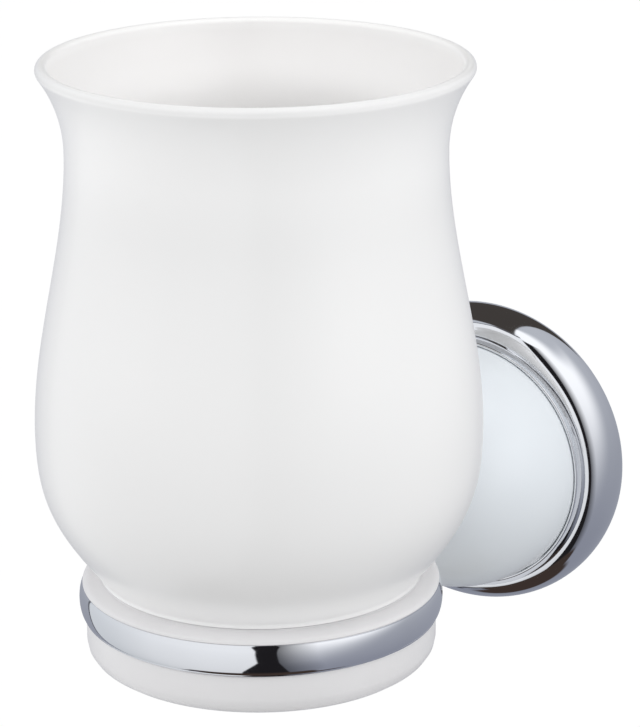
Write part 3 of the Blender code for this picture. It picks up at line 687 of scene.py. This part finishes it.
tent = Finish("tent_cloth", Base_Color=(0, 0, 0), Specular_IOR_Level=0.0, Emission_Strength=1.0)
tent.material.cycles.emission_sampling = "NONE"
toward = tent.node("ShaderNodeVectorMath", {"operation": "NORMALIZE"}, {0: tent.place})
across = tent.node("ShaderNodeSeparateXYZ", values={0: toward})
to_degrees = 180 / math.pi
turn_round = {0: across, 1: across.other("Y") * -1}
azimuths = tent.node("ShaderNodeMath", {"operation": "ARCTAN2"}, turn_round) * to_degrees
heights = tent.node("ShaderNodeMath", {"operation": "ARCSINE"}, {0: across.other("Z")}) * to_degrees


def within(value, low, high, soft):
    past = tent.step(value, high - soft, high + soft)
    return tent.step(value, low - soft, low + soft) * (1 - past)


def panel(under, colour, left, right, bottom, top, soft):
    """Hangs a panel on the tent, between two azimuths and two elevations in degrees."""
    area = within(azimuths, left, right, soft) * within(heights, bottom, top, soft)
    return tent.blend(area, under, colour)


# The cloth, grey and darker towards the floor, glows where a light stands behind its right side.
cloth_low, cloth_high, glow = (0.27, 0.285, 0.345), (0.53, 0.55, 0.60), (1.15, 1.16, 1.19)
cloth = tent.blend(tent.step(heights, -65, 60), cloth_low, cloth_high)
glow_edge = heights * 0.88 + 93 - 42 * tent.step(heights, 42, 63)
right_glow = tent.step(heights, -45, 50) * (1 - tent.step(azimuths, glow_edge - 32, glow_edge + 32))
cloth = tent.blend(right_glow * tent.step(azimuths, 0, 30), cloth, glow)

# Right of the gap the cloth comes out of the dark, later low down than high up.
gap_top, straight_down = 66, -100
dark_cloth = (0.03, 0.03, 0.035)
low_down = tent.spread(heights, -24, -58)
out_of_dark = tent.spread(azimuths, 33, 62 + 12 * low_down)
cloth = panel(cloth, tent.blend(out_of_dark, dark_cloth, cloth), 20, 90, straight_down, gap_top, 1)

# The pale box on the left in its dark frame.
frame_black, box_left, box_right = (0.05, 0.05, 0.06), (0.74, 0.77, 0.81), (0.93, 0.945, 0.975)
frame_width = 3
box_top = 51 + 18 * tent.step(azimuths, -62, -22)
box_bottom = 5 * tent.step(azimuths, -60, -25) - 63
cloth = panel(cloth, frame_black, -101, 22, box_bottom - frame_width, box_top + frame_width, 0.7)
pale_box = tent.blend(tent.step(azimuths, -95, -20), box_left, box_right)
pale_box = tent.blend(tent.spread(heights, 8, -62, 0, 0.2), pale_box, (0, 0, 0))
cloth = panel(cloth, pale_box, -99, 28, box_bottom, box_top, 0.7)

# The dark ceiling, over the left half alone.
ceiling_brown = (0.058, 0.051, 0.047)
aside = abs(azimuths)
left_half = tent.step(across * -1, -0.075, -0.05)
ceiling_edge = 72 - 16 * tent.step(aside, 30, 100) - 46 * tent.step(aside, 100, 138)
ceiling = tent.step(heights, ceiling_edge - 2, ceiling_edge + 2) * left_half
cloth = tent.blend(ceiling, cloth, ceiling_brown)

# The narrow black gap between the two sides, and the dark table below.
gap_black, table_brown = (0.014, 0.013, 0.015), (0.05, 0.035, 0.03)
gap_left = 25.5 - 5 * tent.step(heights, 4, 42) - 17.5 * low_down
gap_right = 38 + 6 * low_down
cloth = panel(cloth, gap_black, gap_left, gap_right, straight_down, gap_top, 0.6)
table_edge = within(azimuths, -45, 70, 12) * 12 - 70
cloth = panel(cloth, table_brown, -200, 200, -120, table_edge, 2.6)

tent_height = 0.58
tent_spread = 4
bm = bmesh.new()
bmesh.ops.create_uvsphere(bm, u_segments=96, v_segments=48, radius=tent_height)
bmesh.ops.scale(bm, verts=bm.verts, vec=(tent_spread, tent_spread, 1))
studio_card(finished("studio_tent", bm), tent.give(Emission_Color=cloth), mirrored=True)

# A dark board under the rosette takes the light that would come up from below.
board_half = 0.055
board_black, board_dust = (0.03, 0.03, 0.03), (0.04, 0.04, 0.04)
board = Finish("board_black", Roughness=0.9)
board.give(Base_Color=board.blend(board.noise(40), board_black, board_dust))
bm = bmesh.new()
bmesh.ops.create_grid(bm, x_segments=1, y_segments=1, size=board_half)
bmesh.ops.translate(bm, verts=bm.verts, vec=(0.06, -0.05, -0.12))
studio_card(finished("dark_board", bm), board.material, mirrored=False)


# Camera. It stands where the photo was taken from, right of the holder's axis and a little above,
# and looks through a long lens.

camera = bpy.data.objects.new("camera", bpy.data.cameras.new("camera"))
bpy.context.scene.collection.objects.link(camera)
bpy.context.scene.camera = camera
stand = Matrix.Translation((0.26766, -0.54614, 0.21225))
azimuth = Matrix.Rotation(math.radians(29.2935), 4, "Z")
elevation = Matrix.Rotation(math.radians(90) - math.radians(17.7378), 4, "X")
roll = Matrix.Rotation(math.radians(-0.2375), 4, "Z")
camera.matrix_world = stand @ azimuth @ elevation @ roll
camera.data.lens = 154.764
camera.data.sensor_width = 36
camera.data.clip_start = 0.01

bpy.context.scene.view_settings.view_transform = "Standard"
